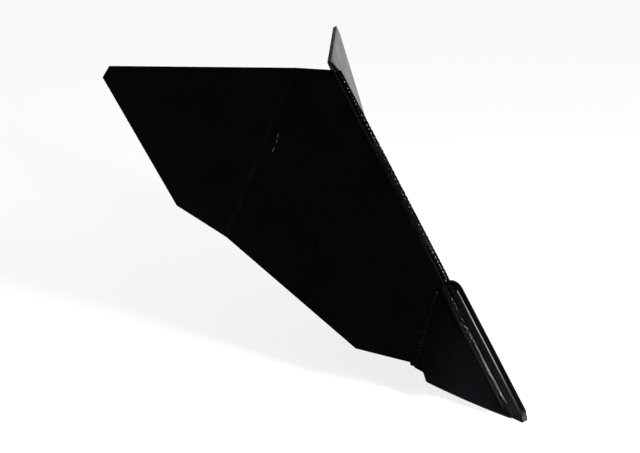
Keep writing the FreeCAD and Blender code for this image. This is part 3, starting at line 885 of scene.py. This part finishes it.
# Lamps: where each one stands as seen from what it lights, and its width and depth
LAMP_DISTANCE = 1.2
STRIP_DIRECTION = Vector((0.08, -0.77, 0.64))
STRIP_SIZE = (0.25, 0.65)
BEAD_LAMP_DIRECTION = Vector((-0.48, -0.30, 0.82))
BEAD_LAMP_SIZE = (0.1, 0.1)
BEAD_LAMP_BEAM = math.radians(4)

# Where the bead lamp shines, from the bar bead's lower end to its upper one
BEAD_LAMP_PLACE = 0.22


def seen_directly(tree):
    """1 for rays from the camera, from gloss and through glass, 0 for soft light."""
    path = add(tree, "ShaderNodeLightPath")
    factor = path.outputs["Is Camera Ray"]
    for kind in ("Is Glossy Ray", "Is Transmission Ray"):
        factor = number_math(tree, "MAXIMUM", factor, path.outputs[kind])
    return factor


def make_floor(colour):
    form = bmesh.new()
    bmesh.ops.create_circle(form, cap_ends=True, segments=FLOOR_CORNERS, radius=FLOOR_RADIUS)
    mesh = bpy.data.meshes.new("floor")
    form.to_mesh(mesh)
    form.free()
    floor = bpy.data.objects.new("floor", mesh)
    floor.location.z = cad_box[0][2] - FLOOR_GAP
    material, tree = new_material("pale_floor")
    matte = add(tree, "ShaderNodeBsdfDiffuse", Color=(*colour, 1.0))
    glow = add(tree, "ShaderNodeEmission", Color=(1.0, 1.0, 1.0, 1.0), Strength=1.0)
    share = add(tree, "ShaderNodeMath", operation="MULTIPLY")
    share.inputs[1].default_value = FLOOR_GLOW
    tree.links.new(seen_directly(tree), share.inputs[0])
    mixed = add(tree, "ShaderNodeMixShader")
    tree.links.new(share.outputs[0], mixed.inputs["Fac"])
    tree.links.new(matte.outputs["BSDF"], mixed.inputs[1])
    tree.links.new(glow.outputs["Emission"], mixed.inputs[2])
    output = add(tree, "ShaderNodeOutputMaterial")
    tree.links.new(mixed.outputs["Shader"], output.inputs["Surface"])
    mesh.materials.append(material)
    bpy.context.collection.objects.link(floor)


def make_world(level):
    """Soft light all around; what is seen of it is white low down and dims towards the ceiling."""
    world = bpy.data.worlds.new("studio")
    bpy.context.scene.world = world
    world.use_nodes = True
    tree = world.node_tree
    tree.nodes.clear()
    direction = add(tree, "ShaderNodeTexCoord").outputs["Generated"]
    parts = add(tree, "ShaderNodeSeparateXYZ")
    tree.links.new(direction, parts.inputs["Vector"])
    seen = add(tree, "ShaderNodeBackground", Strength=1.0)
    tree.links.new(tones_of(tree, parts.outputs["Z"], STUDIO_TONES), seen.inputs["Color"])
    soft = add(tree, "ShaderNodeBackground", Color=(1.0, 1.0, 1.0, 1.0), Strength=level)
    mixed = add(tree, "ShaderNodeMixShader")
    tree.links.new(seen_directly(tree), mixed.inputs["Fac"])
    tree.links.new(soft.outputs["Background"], mixed.inputs[1])
    tree.links.new(seen.outputs["Background"], mixed.inputs[2])
    output = add(tree, "ShaderNodeOutputWorld")
    tree.links.new(mixed.outputs["Shader"], output.inputs["Surface"])


def make_lamp(name, aim, direction, size, power, beam=math.pi):
    """Soft rectangular lamp that shines on its aim, with its width kept level."""
    light = bpy.data.lights.new(name, "AREA")
    light.shape = "RECTANGLE"
    light.size, light.size_y = size
    light.energy = power
    light.spread = beam
    lamp = bpy.data.objects.new(name, light)
    lamp.location = aim + direction.normalized() * LAMP_DISTANCE
    lamp.rotation_euler = (-direction).to_track_quat("-Z", "Y").to_euler()
    bpy.context.collection.objects.link(lamp)


def make_camera():
    direction = camera_direction()
    view = bpy.data.cameras.new("photo_camera")
    view.sensor_width = SENSOR_WIDTH
    view.lens = SENSOR_WIDTH * FOCAL_PIXELS / IMAGE_WIDTH
    camera = bpy.data.objects.new("photo_camera", view)
    camera.location = CAMERA_AIM + direction * CAMERA_DISTANCE
    camera.rotation_euler = (-direction).to_track_quat("-Z", "Y").to_euler()
    bpy.context.collection.objects.link(camera)
    bpy.context.scene.camera = camera


class RIDGER_OT_stage(bpy.types.Operator):
    """Set the floor, the soft light and the camera"""

    bl_idname = "ridger.stage"
    bl_label = "Stage"

    def execute(self, context):
        stage = context.scene.ridger_stage
        make_floor(stage.floor)
        make_world(stage.fill)
        bar_low, bar_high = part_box("point_bar")
        bar_middle = (Vector(bar_low) + Vector(bar_high)) / 2
        make_lamp("strip_lamp", bar_middle, STRIP_DIRECTION, STRIP_SIZE, stage.key)
        bead_low, bead_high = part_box("bar_weld_right")
        lit = Vector(bead_low).lerp(Vector(bead_high), BEAD_LAMP_PLACE)
        make_lamp("bead_lamp", lit, BEAD_LAMP_DIRECTION, BEAD_LAMP_SIZE, stage.bead_light, BEAD_LAMP_BEAM)
        make_camera()
        context.scene.view_settings.view_transform = "Standard"
        return {"FINISHED"}


class RIDGER_PT_sidebar(bpy.types.Panel):
    """Pieces of the ridger and their settings"""

    bl_label = "Tiller ridger"
    bl_idname = "RIDGER_PT_sidebar"
    bl_space_type = "VIEW_3D"
    bl_region_type = "UI"
    bl_category = "Ridger"

    def draw(self, context):
        for operator in OPERATORS:
            self.layout.operator(operator.bl_idname)
        for name, group in GROUPS.items():
            box = self.layout.box()
            for prop in group.__annotations__:
                box.prop(getattr(context.scene, name), prop)


OPERATORS = [RIDGER_OT_mouldboards, RIDGER_OT_shares, RIDGER_OT_point_bar, RIDGER_OT_tine_plate,
             RIDGER_OT_ridge_weld, RIDGER_OT_share_welds, RIDGER_OT_inner_welds, RIDGER_OT_stage]
GROUPS = {"ridger_paint": RidgerPaint, "ridger_edges": RidgerEdges,
          "ridger_welds": RidgerWelds, "ridger_stage": RidgerStage}


def register():
    for kind in [*GROUPS.values(), *OPERATORS, RIDGER_PT_sidebar]:
        bpy.utils.register_class(kind)
    for name, group in GROUPS.items():
        setattr(bpy.types.Scene, name, PointerProperty(type=group))


def unregister():
    for name in GROUPS:
        delattr(bpy.types.Scene, name)
    for kind in reversed([*GROUPS.values(), *OPERATORS, RIDGER_PT_sidebar]):
        bpy.utils.unregister_class(kind)


def main():
    register()
    for operator in OPERATORS:
        getattr(bpy.ops.ridger, operator.bl_idname.split(".")[1])()


if __name__ == "__main__":
    main()
